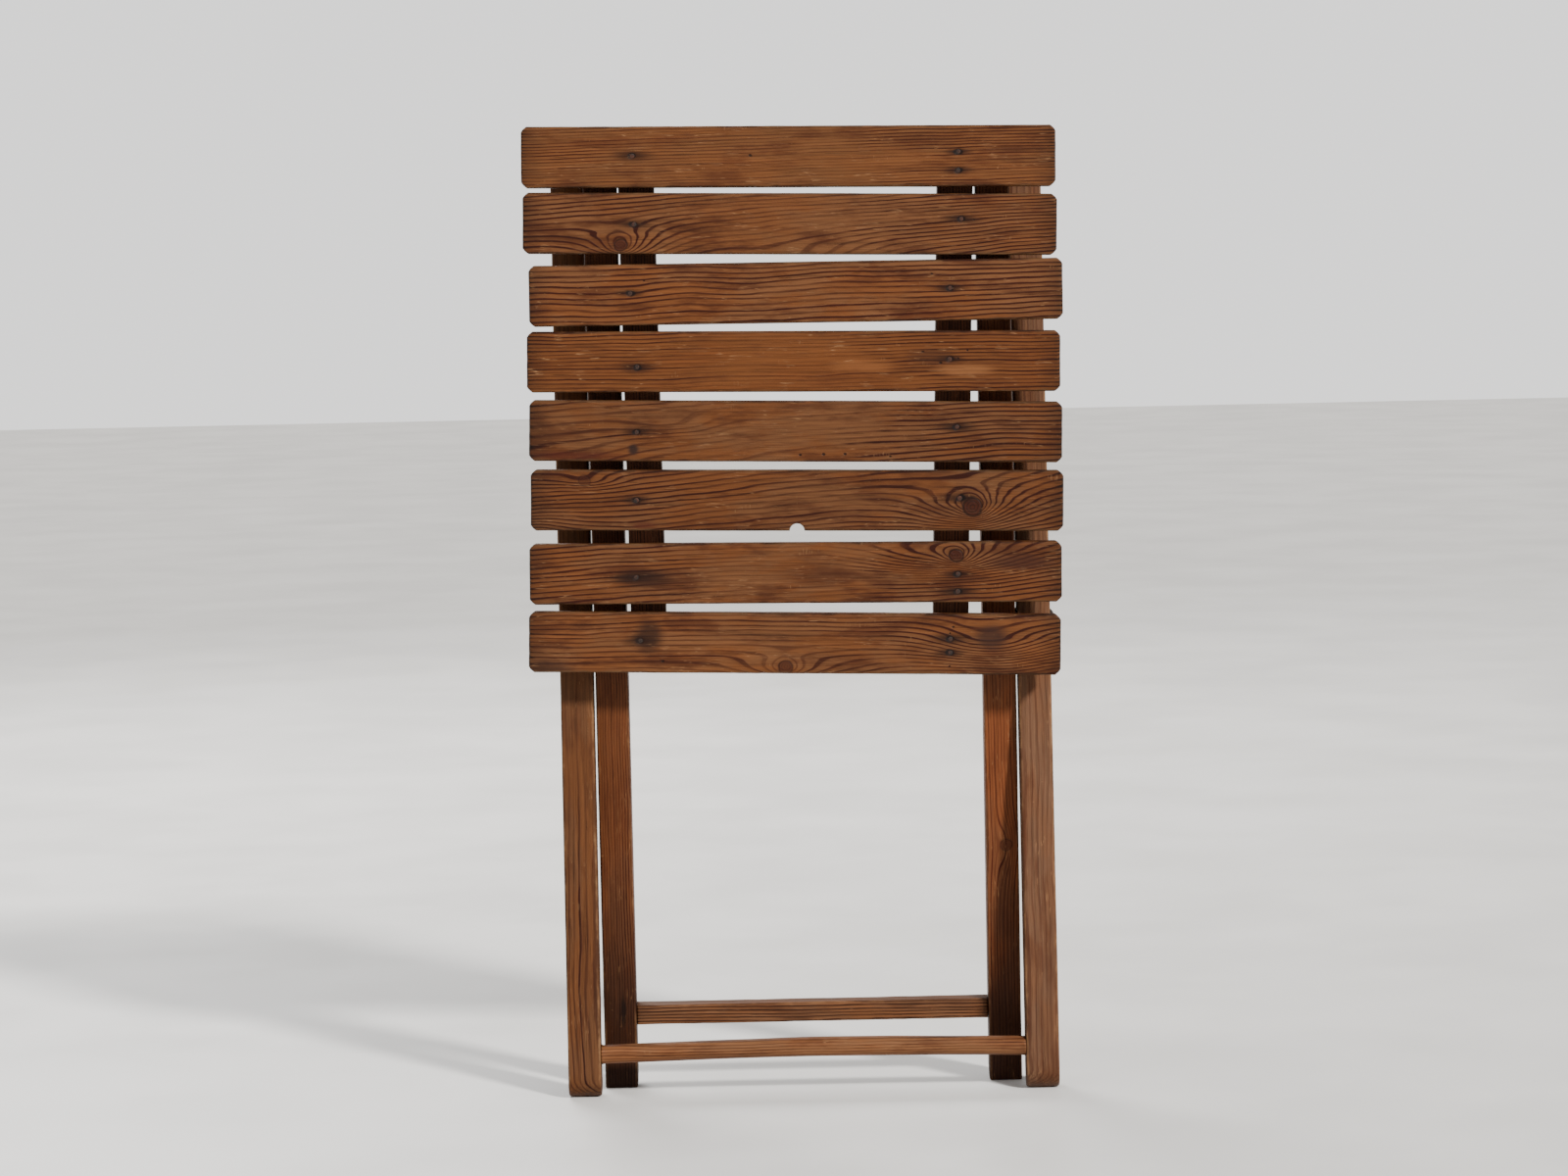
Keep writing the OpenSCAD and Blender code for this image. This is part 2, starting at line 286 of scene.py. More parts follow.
def dented(points, half, dents):
    """Presses round pits (length, across, radius, depth) into the front face."""
    out = points.copy()
    front = points[:, 2] > half[2] - 1.5
    for length, across, radius, depth in dents:
        away = np.hypot(points[:, 0] - length, points[:, 1] - across) / radius
        pit = depth * np.clip(1 - away**2, 0, 1) ** 1.5
        out[:, 2] -= np.where(front, pit, 0)
    return out


def board(timber, name, edge, step, plan="face", rounds=(0, 0), extra=((), ()), seed=0,
          amount=1.0, dents=(), shape=None, ends=(), squares=5.0):
    """A worn board that fills a timber's box, with its own millimetres as an attribute.

    plan says where its corners are rounded: in its face, or in its side. ends lists the
    ends (-1 or 1) that follow the CAD timber's sawn shape.
    """
    half = timber.size / 2
    order = [0, 1, 2] if plan == "face" else [0, 2, 1]
    sizes = half[order]
    fine = [list(extra[0]), list(extra[1])]
    for sign, radius in ((-1, rounds[0]), (1, rounds[1])):
        turns = radius * (1 - np.sin(np.linspace(0, math.pi / 2, 9)))
        fine[0] += [sign * (half[0] - r) for r in turns]
        fine[1] += [s * (sizes[1] - r) for r in turns[::2] for s in (-1, 1)]
    xs = ticks(sizes[0], edge, step, fine[0])
    ys = ticks(sizes[1], edge, squares, fine[1])
    zs = ticks(sizes[2], edge, squares)
    points, faces = box_lattice(xs, ys, zs)
    points = soften(points, sizes, edge)
    points = round_plan(points, sizes, *rounds, clipped=plan == "face")
    points = points[:, order]
    if plan != "face":
        faces = [f[::-1] for f in faces]
    for end in ends:
        depths, lengths = timber.end_shape(end)
        target = np.interp(points[:, 2], depths, lengths) - half[0]
        near = np.clip((points[:, 0] * end - (half[0] - 60)) / 60, 0, 1)
        points[:, 0] += end * target * near
    points = worn(points, half, seed, amount)
    points = dented(points, half, dents)
    if shape is not None:
        points = shape(points)
    piece = new_piece(name, timber.outward(points), faces)
    write_grain(piece, timber)
    return piece


def write_grain(piece, timber):
    """Stores the board's own millimetres, which its wood grows from."""
    mesh = piece.data
    places = timber.inward(np.array([v.co for v in mesh.vertices]))
    kept = mesh.attributes.get("grain")
    if kept is not None:
        mesh.attributes.remove(kept)
    grain = mesh.attributes.new("grain", "FLOAT_VECTOR", "POINT")
    grain.data.foreach_set("vector", places.astype(np.float32).ravel())


def bored(piece, timber, cutters):
    """Cuts bores and mortises, and then writes the board's own millimetres again."""
    for cutter in cutters:
        cut = piece.modifiers.new("bore", "BOOLEAN")
        cut.object = cutter
        cut.solver = "EXACT"
    bpy.context.view_layer.update()
    ready = piece.evaluated_get(bpy.context.evaluated_depsgraph_get())
    mesh = bpy.data.meshes.new_from_object(ready)
    piece.modifiers.clear()
    old = piece.data
    piece.data = mesh
    bpy.data.meshes.remove(old)
    for cutter in cutters:
        bpy.data.objects.remove(cutter)
    write_grain(piece, timber)


def skin(rings, around):
    """Faces round a stack of rings of vertices, and over its two ends."""
    top = (rings - 1) * around
    faces = []
    for low in range(0, top, around):
        for k in range(around):
            j = (k + 1) % around
            faces.append([low + k, low + j, low + around + j, low + around + k])
    return faces + [list(range(around))[::-1], list(range(top, top + around))]


def turned(name, profile, centre, side, around=36, radius_at=None):
    """Revolves (distance, radius) points about an axis along X, outward on a side.

    A profile that ends where it starts makes a ring; any other gets flat ends.
    """
    vertices = []
    for i, (distance, radius) in enumerate(profile):
        for k in range(around):
            angle = 2 * math.pi * k / around
            r = radius_at(i, angle, radius) if radius_at else radius
            offset = (side * distance, r * math.cos(angle), r * math.sin(angle))
            vertices.append(np.add(centre, offset))
    faces = skin(len(profile), around)
    if profile[0] == profile[-1]:
        vertices = vertices[:-around]
        faces = [[v % len(vertices) for v in face] for face in faces[:-2]]
    if side < 0:
        faces = [face[::-1] for face in faces]
    return new_piece(name, vertices, faces)


def plug(centre, side, start, end, radius, around=40):
    """A round cutter along X."""
    return turned("cutter", [(start, radius), (end, radius)], centre, side, around)


def joined(name, parts):
    """One piece from several meshes."""
    vertices, faces = [], []
    for part in parts:
        offset = len(vertices)
        vertices += [v.co.copy() for v in part.data.vertices]
        faces += [[offset + v for v in f.vertices] for f in part.data.polygons]
        bpy.data.objects.remove(part)
    return new_piece(name, vertices, faces)


# ---- node trees


class Nodes:
    """Short calls that add nodes to a material and link them."""

    def __init__(self, name):
        self.material = bpy.data.materials.new(name)
        self.material.use_nodes = True
        self.tree = self.material.node_tree
        self.tree.nodes.clear()
        out = self.tree.nodes.new("ShaderNodeOutputMaterial")
        self.shader = self.tree.nodes.new("ShaderNodeBsdfPrincipled")
        self.tree.links.new(self.shader.outputs[0], out.inputs[0])

    def put(self, socket, value):
        if isinstance(value, bpy.types.NodeSocket):
            self.tree.links.new(value, socket)
        elif value is not None:
            socket.default_value = value

    def math(self, operation, a, b=None, clamp=False):
        node = self.tree.nodes.new("ShaderNodeMath")
        node.operation = operation
        node.use_clamp = clamp
        for socket, value in zip(node.inputs, (a, b)):
            self.put(socket, value)
        return node.outputs[0]

    def add(self, a, b):
        return self.math("ADD", a, b)

    def less(self, a, b):
        return self.math("SUBTRACT", a, b)

    def times(self, a, b, clamp=False):
        return self.math("MULTIPLY", a, b, clamp=clamp)

    def vector(self, operation, a, b=None):
        node = self.tree.nodes.new("ShaderNodeVectorMath")
        node.operation = operation
        for socket, value in zip(node.inputs, (a, b)):
            self.put(socket, value)
        return node.outputs["Value" if operation == "LENGTH" else "Vector"]

    def split(self, vector):
        node = self.tree.nodes.new("ShaderNodeSeparateXYZ")
        self.put(node.inputs[0], vector)
        return node.outputs

    def attribute(self, name):
        node = self.tree.nodes.new("ShaderNodeAttribute")
        node.attribute_name = name
        return node.outputs["Vector"]

    def noise(self, vector, cell, seed=0.0, detail=2.0, rough=0.5, colour=False):
        """Noise with its own cell size in millimetres along each axis."""
        scaled = self.vector("MULTIPLY", vector, tuple(1 / c for c in cell))
        moved = self.vector("ADD", scaled, (seed * 3.7, seed * 1.3, seed * 7.9))
        node = self.tree.nodes.new("ShaderNodeTexNoise")
        self.put(node.inputs["Vector"], moved)
        node.inputs["Scale"].default_value = 1.0
        node.inputs["Detail"].default_value = detail
        node.inputs["Roughness"].default_value = rough
        return node.outputs["Color" if colour else "Fac"]

    def sway(self, vector, cell, seed, detail):
        """Smooth noise about zero along every axis."""
        return self.vector("SUBTRACT", self.noise(vector, cell, seed, detail, colour=True), (0.5,) * 3)

    def shifted(self, place, sway, amounts):
        return self.vector("ADD", place, self.vector("MULTIPLY", sway, amounts))

    def white(self, value, seed):
        node = self.tree.nodes.new("ShaderNodeTexWhiteNoise")
        node.noise_dimensions = "1D"
        self.put(node.inputs["W"], self.add(value, seed))
        return node.outputs["Value"]

    def step(self, value, low, high, at_low=0.0, at_high=1.0):
        """A smooth step from at_low to at_high as the value goes from low to high."""
        node = self.tree.nodes.new("ShaderNodeMapRange")
        node.interpolation_type = "SMOOTHSTEP"
        for socket, v in zip(node.inputs, (value, low, high, at_low, at_high)):
            self.put(socket, v)
        return node.outputs[0]

    def ramp(self, value, stops):
        node = self.tree.nodes.new("ShaderNodeValToRGB")
        ramp = node.color_ramp
        while len(ramp.elements) < len(stops):
            ramp.elements.new(0.5)
        for element, (place, level) in zip(ramp.elements, stops):
            element.position = place
            element.color = (level, level, level, 1)
        self.put(node.inputs[0], value)
        return node.outputs[0]

    def mix(self, factor, a, b, kind="MIX"):
        node = self.tree.nodes.new("ShaderNodeMix")
        node.data_type = "RGBA"
        node.blend_type = kind
        self.put(node.inputs["Factor"], factor)
        for key, value in (("A", a), ("B", b)):
            socket = [s for s in node.inputs if s.name == key and s.type == "RGBA"][0]
            self.put(socket, value)
        return [s for s in node.outputs if s.type == "RGBA"][0]

    def spot(self, place, at, size):
        """How far a place in the face is from a spot: 1 on an ellipse of its size."""
        moved = self.vector("SUBTRACT", place, (at[0], at[1], 0))
        flat = self.vector("MULTIPLY", moved, (1 / size[0], 1 / size[1], 0))
        return self.vector("LENGTH", flat)

    def bump(self, height, distance, strength=1.0):
        node = self.tree.nodes.new("ShaderNodeBump")
        node.inputs["Strength"].default_value = strength
        node.inputs["Distance"].default_value = distance
        self.put(node.inputs["Height"], height)
        self.put(self.shader.inputs["Normal"], node.outputs[0])


def rgb(red, green, blue):
    """A colour from 0-255 display values, as linear light."""
    parts = [c / 255 for c in (red, green, blue)]
    linear = [p / 12.92 if p < 0.04045 else ((p + 0.055) / 1.055) ** 2.4 for p in parts]
    return (*linear, 1.0)


OLD_WOOD = (0.52, 0.455, 0.41)  # the red, green and blue that age leaves of the colours
RING_STOPS = ((0, 0.25), (0.04, 0), (0.5, 0.03), (0.66, 0.25), (0.74, 1), (0.96, 1), (1, 0.25))
KNOT_STOPS = ((0, 0.1), (0.6, 0.3), (0.85, 1), (1, 0.1))
KNOT_COLOURS = (rgb(76, 38, 24), rgb(26, 10, 6))
IRON_STAIN = rgb(40, 22, 14)
# Painted shade in the sunken pit round each nail head
NAIL_PIT_SHADE = rgb(24, 18, 17)
# Painted shade inside the small holes, which are only shallow dents in the mesh
HOLE_SHADE = rgb(26, 16, 12)
# Scratches along and across the grain: cell, level, seed and how few there are.
SCRATCHES = (((30, 1.5, 1.5), 0.42, 12, 0.55), ((1.7, 26, 26), 0.6, 13, 0.66))
WOOD = dict(
    pith=(-60, -40), slope=(0.0, 0.0), ring=3.4, wander=5.0, ripple=0.8, strength=(1.2, 0.6, 1.25),
    early=rgb(122, 84, 54), late=rgb(58, 21, 7), warm=rgb(122, 75, 40), stain=rgb(80, 43, 22),
    dark_tint=rgb(28, 13, 6), pale=rgb(186, 146, 104), shade=1.0, warmth=0.75, staining=0.7,
    rim=0.85, edge_wear=0.25, scratches=0.35, low_dark=0.0, seed=0.0,
    knots=(), bends=(), nails=(), holes=(), patches=(),
)


def grow_rings(n, look, place, ripple):
    """The board's places as the tree bent them, and the dark late wood of its rings."""
    along = n.split(place)[0]
    drift = n.sway(place, (95, 60, 60), look["seed"], 1.5)
    moved = n.shifted(place, drift, (0, look["wander"], look["wander"]))
    moved = n.shifted(moved, ripple, (0, look["ripple"], look["ripple"]))
    _, high, back = n.split(moved)
    squares = []
    for value, pith, slope in zip((high, back), look["pith"], look["slope"]):
        away = n.less(n.less(value, pith), n.times(along, slope))
        squares.append(n.times(away, away))
    rings = n.times(n.math("SQRT", n.add(*squares)), 1 / look["ring"])
    for at, reach, turns in look["bends"]:
        away = n.spot(moved, at, reach)
        rings = n.add(rings, n.math("DIVIDE", turns, n.add(1, n.math("POWER", away, 2.4))))
    uneven = n.noise(place, (300, 9, 9), look["seed"] + 2, 1)
    rings = n.add(rings, n.times(uneven, 0.9))
    late = n.ramp(n.math("FRACT", rings), RING_STOPS)
    own = n.white(n.math("FLOOR", rings), look["seed"])
    return moved, n.times(late, n.step(own, 0, 1, 0.55, 1.2))


def shown(n, look, place, length):
    """How clearly the rings show along the board, broken up by wear."""
    patchy = n.noise(place, (60, 16, 16), look["seed"] + 9, 3, 0.6)
    along = n.add(n.split(place)[0], n.times(n.less(patchy, 0.5), 170))
    low, mid, top = look["strength"]
    half = length / 2
    show = n.add(
        n.step(along, -0.62 * half, -0.2 * half, low, mid),
        n.step(along, 0.15 * half, 0.6 * half, 0, top - mid),
    )
    return n.times(show, n.step(patchy, 0.3, 0.6, 0.65, 1.15))


def add_knots(n, look, colour, hollow, bent):
    """Dark hearts with rings of their own, in a rim of bark and a soft halo."""
    for at, radius, depth in look["knots"]:
        away = n.spot(bent, at, (radius * 1.1, radius))
        own_rings = n.ramp(n.math("FRACT", n.times(away, 3.1)), KNOT_STOPS)
        heart = n.mix(n.times(own_rings, 0.8), *KNOT_COLOURS)
        off_bark = n.math("ABSOLUTE", n.less(away, 0.95))
        bark = n.times(n.step(off_bark, 0, 0.2, 1, 0), depth)
        colour = n.mix(n.times(n.step(away, 0.9, 1.9, 0.4, 0), depth), colour, look["stain"])
        colour = n.mix(n.times(n.step(away, 0.8, 1.08, 1, 0), depth), colour, heart)
        colour = n.mix(n.times(bark, 0.75), colour, look["dark_tint"])
        hollow = n.math("MAXIMUM", hollow, n.times(bark, 0.6))
    return colour, hollow


def add_stains(n, look, colour, hollow, place):
    """Iron stains drawn out along the grain, round their nails; painted shade in the pits round the
    nail heads and in small holes; patches.
    """
    for at, wide in look["nails"]:
        away = n.spot(place, at, (17 * wide, 4.6 * wide))
        colour = n.mix(n.step(away, 0.15, 1.3, 0.85, 0), colour, IRON_STAIN)
        # Painted shade: a dark ring in the sunken pit round the nail head
        near = n.spot(place, at, (4.6, 3.2))
        colour = n.mix(n.step(near, 0.6, 1.1, 0.92, 0), colour, NAIL_PIT_SHADE)
    for at, radius in look["holes"]:
        # Painted shade: each small hole is darkened as if it were deep
        hole = n.step(n.spot(place, at, (radius * 1.3, radius)), 0.5, 1.1, 1, 0)
        colour = n.mix(n.times(hole, 0.9), colour, HOLE_SHADE)
        hollow = n.math("MAXIMUM", hollow, hole)
    for at, reach, tint, depth in look["patches"]:
        colour = n.mix(n.step(n.spot(place, at, reach), 0.35, 1.15, depth, 0), colour, tint)
    return colour, hollow


def add_scratches(n, look, colour, place):
    """Thin pale marks, with how deep they are."""
    marks = []
    for cell, level, seed, low in SCRATCHES:
        field = n.noise(place, cell, look["seed"] + seed, 1, 0.4)
        thin = n.step(n.math("ABSOLUTE", n.less(field, level)), 0, 0.035, 1, 0)
        where = n.noise(place, (22, 9, 9), look["seed"] + seed + 5, 2)
        marks.append(n.times(thin, n.step(where, low, low + 0.1)))
    marks = n.math("MAXIMUM", *marks)
    return n.mix(n.times(marks, look["scratches"]), colour, look["pale"]), marks


def wood(name, size, **changes):
    """Old softwood: rings round a pith, bent by knots, under stain, darker rims and ends, and wear.

    pith is (across, depth) of the tree's centre from the board's, and slope its drift
    per millimetre of length. strength says how clearly the rings show at the left or
    low end, in the middle and at the other end. Places are (along, across).
    """
    look = {**WOOD, **changes}
    n = Nodes(name)
    seed = look["seed"]
    place = n.attribute("grain")
    along, across, deep = n.split(place)
    ripple = n.sway(place, (26, 11, 11), seed + 5, 2)
    moved, late = grow_rings(n, look, place, ripple)
    show = shown(n, look, place, size[0])
    lines = n.times(n.times(late, show), 1.3, clamp=True)

    # fibres, colour and open grain
    fibre = n.noise(place, (42, 0.9, 0.9), seed + 3, 4, 0.62)
    long_fibre = n.noise(place, (130, 3.2, 3.2), seed + 4, 3, 0.55)
    blotch = n.noise(place, (85, 26, 26), seed + 6, 4, 0.58)
    stained = n.noise(place, (55, 14, 14), seed + 7, 4, 0.6)
    colour = n.mix(n.times(n.step(blotch, 0.42, 0.58), look["warmth"]), look["early"], look["warm"])
    colour = n.mix(n.times(n.step(stained, 0.47, 0.66), look["staining"]), colour, look["stain"])
    colour = n.mix(lines, colour, look["late"])
    tone = n.add(n.times(n.less(fibre, 0.5), 1.15), n.times(n.less(long_fibre, 0.5), 0.7))
    colour = n.mix(1.0, colour, n.add(0.93, tone), "MULTIPLY")
    check = n.noise(place, (34, 0.55, 0.55), seed + 8, 2, 0.5)
    hollow = n.times(n.step(check, 0.66, 0.72), n.step(show, 0.2, 0.8, 0.3, 0.85))
    colour = n.mix(n.times(hollow, 0.7), colour, look["dark_tint"])
    colour, hollow = add_knots(n, look, colour, hollow, n.shifted(moved, ripple, (5, 4, 0)))
    colour, hollow = add_stains(n, look, colour, hollow, n.shifted(place, ripple, (6, 3.2, 0)))

    # darker rims and ends, a darker low end and worn arrises
    wobble = n.times(n.less(n.noise(place, (9, 5, 5), seed + 11, 3), 0.5), 3.0)
    halves = [whole / 2 for whole in size]
    gaps = [n.less(half, n.math("ABSOLUTE", at)) for half, at in zip(halves, (along, across, deep))]
    # Darker rings near the ends, and darker bands along the rims and towards the ends
    end_lines = n.times(n.step(gaps[0], 1.5, 7, 0.9, 0), late)
    colour = n.mix(n.times(end_lines, look["rim"]), colour, look["dark_tint"])
    rim = n.add(n.math("MINIMUM", gaps[0], gaps[1]), gaps[2])
    rim_dark = n.step(n.add(rim, wobble), 0.4, 3.0, look["rim"], 0)
    end_dark = n.times(n.step(n.add(gaps[0], n.times(wobble, 4)), 0, 26, 0.42, 0), look["rim"])
    colour = n.mix(n.math("MAXIMUM", rim_dark, end_dark), colour, look["dark_tint"])
    if look["low_dark"]:
        low = n.add(along, n.times(blotch, 120))
        dirty = n.step(low, -0.40 * size[0], -0.18 * size[0], look["low_dark"], 0)
        colour = n.mix(dirty, colour, look["dark_tint"])
    arris = n.add(n.add(gaps[1], gaps[2]), wobble)
    rubbed = n.times(n.step(arris, 0.2, 2.8, 1, 0), n.step(stained, 0.42, 0.6, 1, 0.1))
    colour = n.mix(n.times(rubbed, look["edge_wear"]), colour, look["pale"])
    colour, marks = add_scratches(n, look, colour, place)

    depth = [look["shade"] * c for c in OLD_WOOD]
    colour = n.mix(1.0, colour, (*depth, 1), "MULTIPLY")
    n.put(n.shader.inputs["Base Color"], colour)
    polish = n.add(n.times(stained, 0.26), n.times(lines, 0.08))
    n.put(n.shader.inputs["Roughness"], n.add(0.38, polish))
    n.shader.inputs["Specular IOR Level"].default_value = 0.1
    height = n.add(n.times(lines, 0.5), n.times(fibre, 0.55))
    height = n.less(height, n.times(hollow, 1.3))
    height = n.less(height, n.times(marks, 0.35))
    n.bump(height, 0.00035, 0.8)
    return n.material


def iron(name, seed, rust=0.5):
    """Old iron: dark scale, brown rust in patches and rubbed bright spots."""
    n = Nodes(name)
    node = n.tree.nodes.new("ShaderNodeTexCoord")
    place = n.vector("MULTIPLY", node.outputs["Object"], (1000,) * 3)
    patches = n.noise(place, (4.5, 4.5, 4.5), seed, 5, 0.62)
    fine = n.noise(place, (0.7, 0.7, 0.7), seed + 1, 4, 0.6)
    rusty = n.times(n.step(patches, 0.4, 0.62), rust)
    colour = n.mix(n.step(fine, 0.3, 0.7), rgb(24, 20, 19), rgb(48, 41, 37))
    colour = n.mix(rusty, colour, rgb(66, 34, 19))
    n.put(n.shader.inputs["Base Color"], colour)
    n.put(n.shader.inputs["Metallic"], n.step(patches, 0.35, 0.65, 0.45, 0.1))
    n.put(n.shader.inputs["Roughness"], n.add(0.36, n.times(fine, 0.4)))
    n.shader.inputs["Specular IOR Level"].default_value = 0.2
    n.bump(n.add(fine, n.times(patches, 1.5)), 0.0003, 0.6)
    return n.material


# ---- slats

# What each slat's grain does, hinge edge first. Places are in millimetres from the
# slat's centre, along to the right and across upward.
SLAT_LOOKS = [
    dict(
        pith=(-170, -60), slope=(0.03, 0), ring=2.6, strength=(0.6, 0.4, 0.8),
        holes=[((-33, 1), 1.3)], warmth=0.35, staining=0.6, early=rgb(112, 76, 46),
        shade=1.2,
    ),
    dict(
        pith=(-62, -30), slope=(0.02, 0.10), ring=2.9, strength=(1.0, 0.5, 1.2),
        knots=[((-146, -19), 5.5, 0.8)],
        bends=[((-144, -20), (38, 14), 4.5), ((-146, -19), (11, 9), 3.5), ((10, -34), (70, 18), 5.0)],
        holes=[((160, 4), 0.9)], warmth=0.5,
    ),
    dict(
        pith=(-70, -26), slope=(0.0, 0.04), ring=4.1, wander=9, ripple=1.5,
        strength=(1.1, 0.85, 1.25), shade=1.08, holes=[((-131, 12), 0.9), ((119, 14), 1.0)],
    ),
    dict(
        pith=(-120, -90), slope=(0.02, 0), ring=2.5, strength=(0.8, 0.3, 1.0),
        warmth=0.9, staining=0.35, scratches=0.6, early=rgb(126, 80, 44), shade=0.95,
        patches=[
            ((119, 4), (26, 9), rgb(60, 36, 24), 0.55), ((60, -4), (34, 7), rgb(156, 104, 62), 0.45),
            ((148, -8), (30, 6), rgb(166, 116, 74), 0.55),
        ],
        holes=[((128, -2), 1.3), ((111, 8), 1.1), ((142, 2), 0.9), ((150, 9), 0.8)],
    ),
    dict(
        pith=(-52, -34), slope=(-0.015, 0.12), ring=3.9, wander=7,
        strength=(0.7, 0.25, 1.3), warmth=0.75, staining=0.6, shade=0.9,
        bends=[((-110, 5), (44, 9), 2.2)],
        patches=[
            ((-190, -22), (50, 4.5), rgb(82, 36, 24), 0.65),
            ((-141, -16), (5.5, 5.8), rgb(42, 33, 33), 0.85),
        ],
        holes=[((4, -20), 1.3), ((24, -20), 1.5), ((44, -20), 1.2), ((82, -22), 1.1)],
    ),
    dict(
        pith=(-150, -30), slope=(0.12, 0.0), ring=4.6, wander=8, ripple=1.4,
        strength=(1.3, 0.6, 1.2), shade=0.88,
        knots=[((152, -6), 8.2, 0.95), ((-184, 16), 5.0, 0.45)],
        bends=[
            ((146, -6), (42, 17), 6.0), ((152, -6), (13, 11), 4.5),
            ((-184, 17), (26, 8), 2.6), ((-236, -34), (36, 22), -5.0),
        ],
        staining=0.6, patches=[((-133, -22), (13, 4), rgb(82, 36, 24), 0.6)],
    ),
    dict(
        pith=(-58, -34), slope=(0.045, 0.03), ring=3.5, wander=6,
        strength=(1.0, 0.3, 1.4), shade=0.95,
        knots=[((139, 15), 6.0, 0.95)],
        bends=[((126, 14), (64, 17), 6.5), ((139, 15), (12, 9), 4.0)],
        patches=[
            ((196, 8), (34, 8), rgb(66, 38, 28), 0.75), ((20, -2), (40, 12), rgb(66, 34, 19), 0.5),
            ((-133, -4), (34, 10), rgb(44, 25, 18), 0.75),
        ],
    ),
    dict(
        pith=(-50, -22), slope=(0.0, 0.05), ring=3.2, wander=7,
        strength=(0.7, 0.6, 1.05),
        knots=[((-8, -21), 5.5, 0.7)],
        bends=[((-8, -25), (50, 13), 4.5), ((-8, -21), (11, 9), 3.0), ((171, 0), (52, 20), 6.0)],
        patches=[
            ((171, 6), (17, 13), rgb(56, 38, 32), 0.8), ((-216, -22), (26, 9), rgb(48, 32, 28), 0.6),
            ((-127, 6), (15, 17), rgb(44, 27, 20), 0.8),
        ],
        holes=[((137, 15), 1.1), ((135, 9), 0.8), ((134, -19), 0.9), ((-116, -16), 1.2)],
        warmth=0.65,
    ),
]
SLAT_EDGE = 1.5
SLAT_CORNER = 5.0
NOTCH_SLAT = 6
NAIL_PIT = (4.2, 0.7)


def heads_of(side):
    """The middle of each slat nail's head on a side, in the row frame."""
    points = points_of("slat_nails_" + side)
    return clusters(points[points[:, 1] < points[:, 1].max() - 20 * MM], 8 * MM)


nail_heads = {side: heads_of(side) for side in SIDES}


def nails_on(timber):
    """The nails in a slat, as (along, across) in its own millimetres."""
    found = []
    for side in SIDES:
        for world in nail_heads[side]:
            own = timber.inward(world[None])[0]
            if abs(own[1]) < timber.size[1] / 2:
                found.append((own[0], own[1]))
    return found


def notched(timber):
    """The half-round notch measured on the CAD slat, as a move of the board's points."""
    low = -timber.size[1] / 2
    corners = timber.corners
    around = corners[(np.abs(corners[:, 0]) < 40) & (corners[:, 1] < 0)]
    radius = np.abs(around[:, 0]).max()
    reach = 22.0

    def shape(points):
        near = np.abs(points[:, 0]) < radius
        angle = np.clip(points[:, 0] / radius, -1, 1) * math.pi / 2
        fade = np.clip(1 - (points[:, 1] - low) / reach, 0, 1) ** 1.6
        out = points.copy()
        out[:, 0] += np.where(near, (radius * np.sin(angle) - points[:, 0]) * fade, 0)
        out[:, 1] += np.where(near, radius * np.cos(angle) * fade, 0)
        return out

    return shape, list(np.linspace(-radius, radius, 17))


def build_slat(number):
    node = f"slat_{number}"
    timber = Timber(node, RIGHT)
    nails = nails_on(timber)
    around = (-4, -2.6, -1.3, 0, 1.3, 2.6, 4)
    extra = ([a + x for a, _ in nails for x in around], [b + x for _, b in nails for x in around])
    shape = None
    if number == NOTCH_SLAT:
        shape, places = notched(timber)
        extra[0].extend(places)
    look = SLAT_LOOKS[number - 1]
    dents = [(a, b, *NAIL_PIT) for a, b in nails]
    dents += [(*at, radius * 1.6, 0.5) for at, radius in look.get("holes", ())]
    piece = board(
        timber, f"{node}_board", SLAT_EDGE, 4.2, rounds=(SLAT_CORNER, SLAT_CORNER), extra=extra,
        seed=number, amount=0.9, dents=dents, shape=shape, squares=2.8,
    )
    stains = [(at, 0.75 + 0.5 * ((number * 37 + i * 53) % 10) / 10) for i, at in enumerate(nails)]
    material = wood(f"{node}_wood", timber.size, nails=stains, seed=float(number), **look)
    settle(piece, "tabletop", [node], material)


for number in range(1, SLAT_COUNT + 1):
    build_slat(number)


# ---- nails


def nail_mesh(timber_axes, centre, length, head, shank, seed):
    """A cut nail along a timber's depth: an uneven domed head on a tapering shank."""
    along, across, front = timber_axes
    around = 14
    rings = [
        (0.0, 0.05), (0.05, 0.55), (-0.1, 0.92), (-0.35, 1.0), (-0.8, 0.9), (-1.0, shank / head),
        (-length * 0.8, shank / head * 0.9), (-length, 0.12),
    ]
    vertices = []
    for depth, radius in rings:
        for k in range(around):
            angle = 2 * math.pi * k / around
            uneven = 0.07 * math.sin(3 * angle + seed) + 0.04 * math.sin(5 * angle + 2 * seed)
            side = along * math.cos(angle) + across * math.sin(angle)
            vertices.append(centre + (side * head * radius * (1 + uneven) + front * depth) * MM)
    faces = [face[::-1] for face in skin(len(rings), around)]
    return new_piece("nail", vertices, faces)


nail_iron = iron("nail_iron", 3.0, 0.7)
hardware_iron = iron("pivot_iron", 8.0, 0.45)

top_axes = Timber("batten_left", UP).axes
for side in SIDES:
    points = points_of("slat_nails_" + side)
    front_depth = (points @ top_axes[2]).max()
    nail_length = (front_depth - (points @ top_axes[2]).min()) / MM
    parts = []
    for i, head in enumerate(nail_heads[side]):
        flat = head + top_axes[2] * (front_depth - head @ top_axes[2] - 0.55 * MM)
        parts.append(nail_mesh(top_axes, flat, nail_length - 1.0, 2.7, 1.4, i * 1.7))
    piece = joined(f"slat_nails_{side}_iron", parts)
    settle(piece, "tabletop", ["slat_nails_" + side], nail_iron)

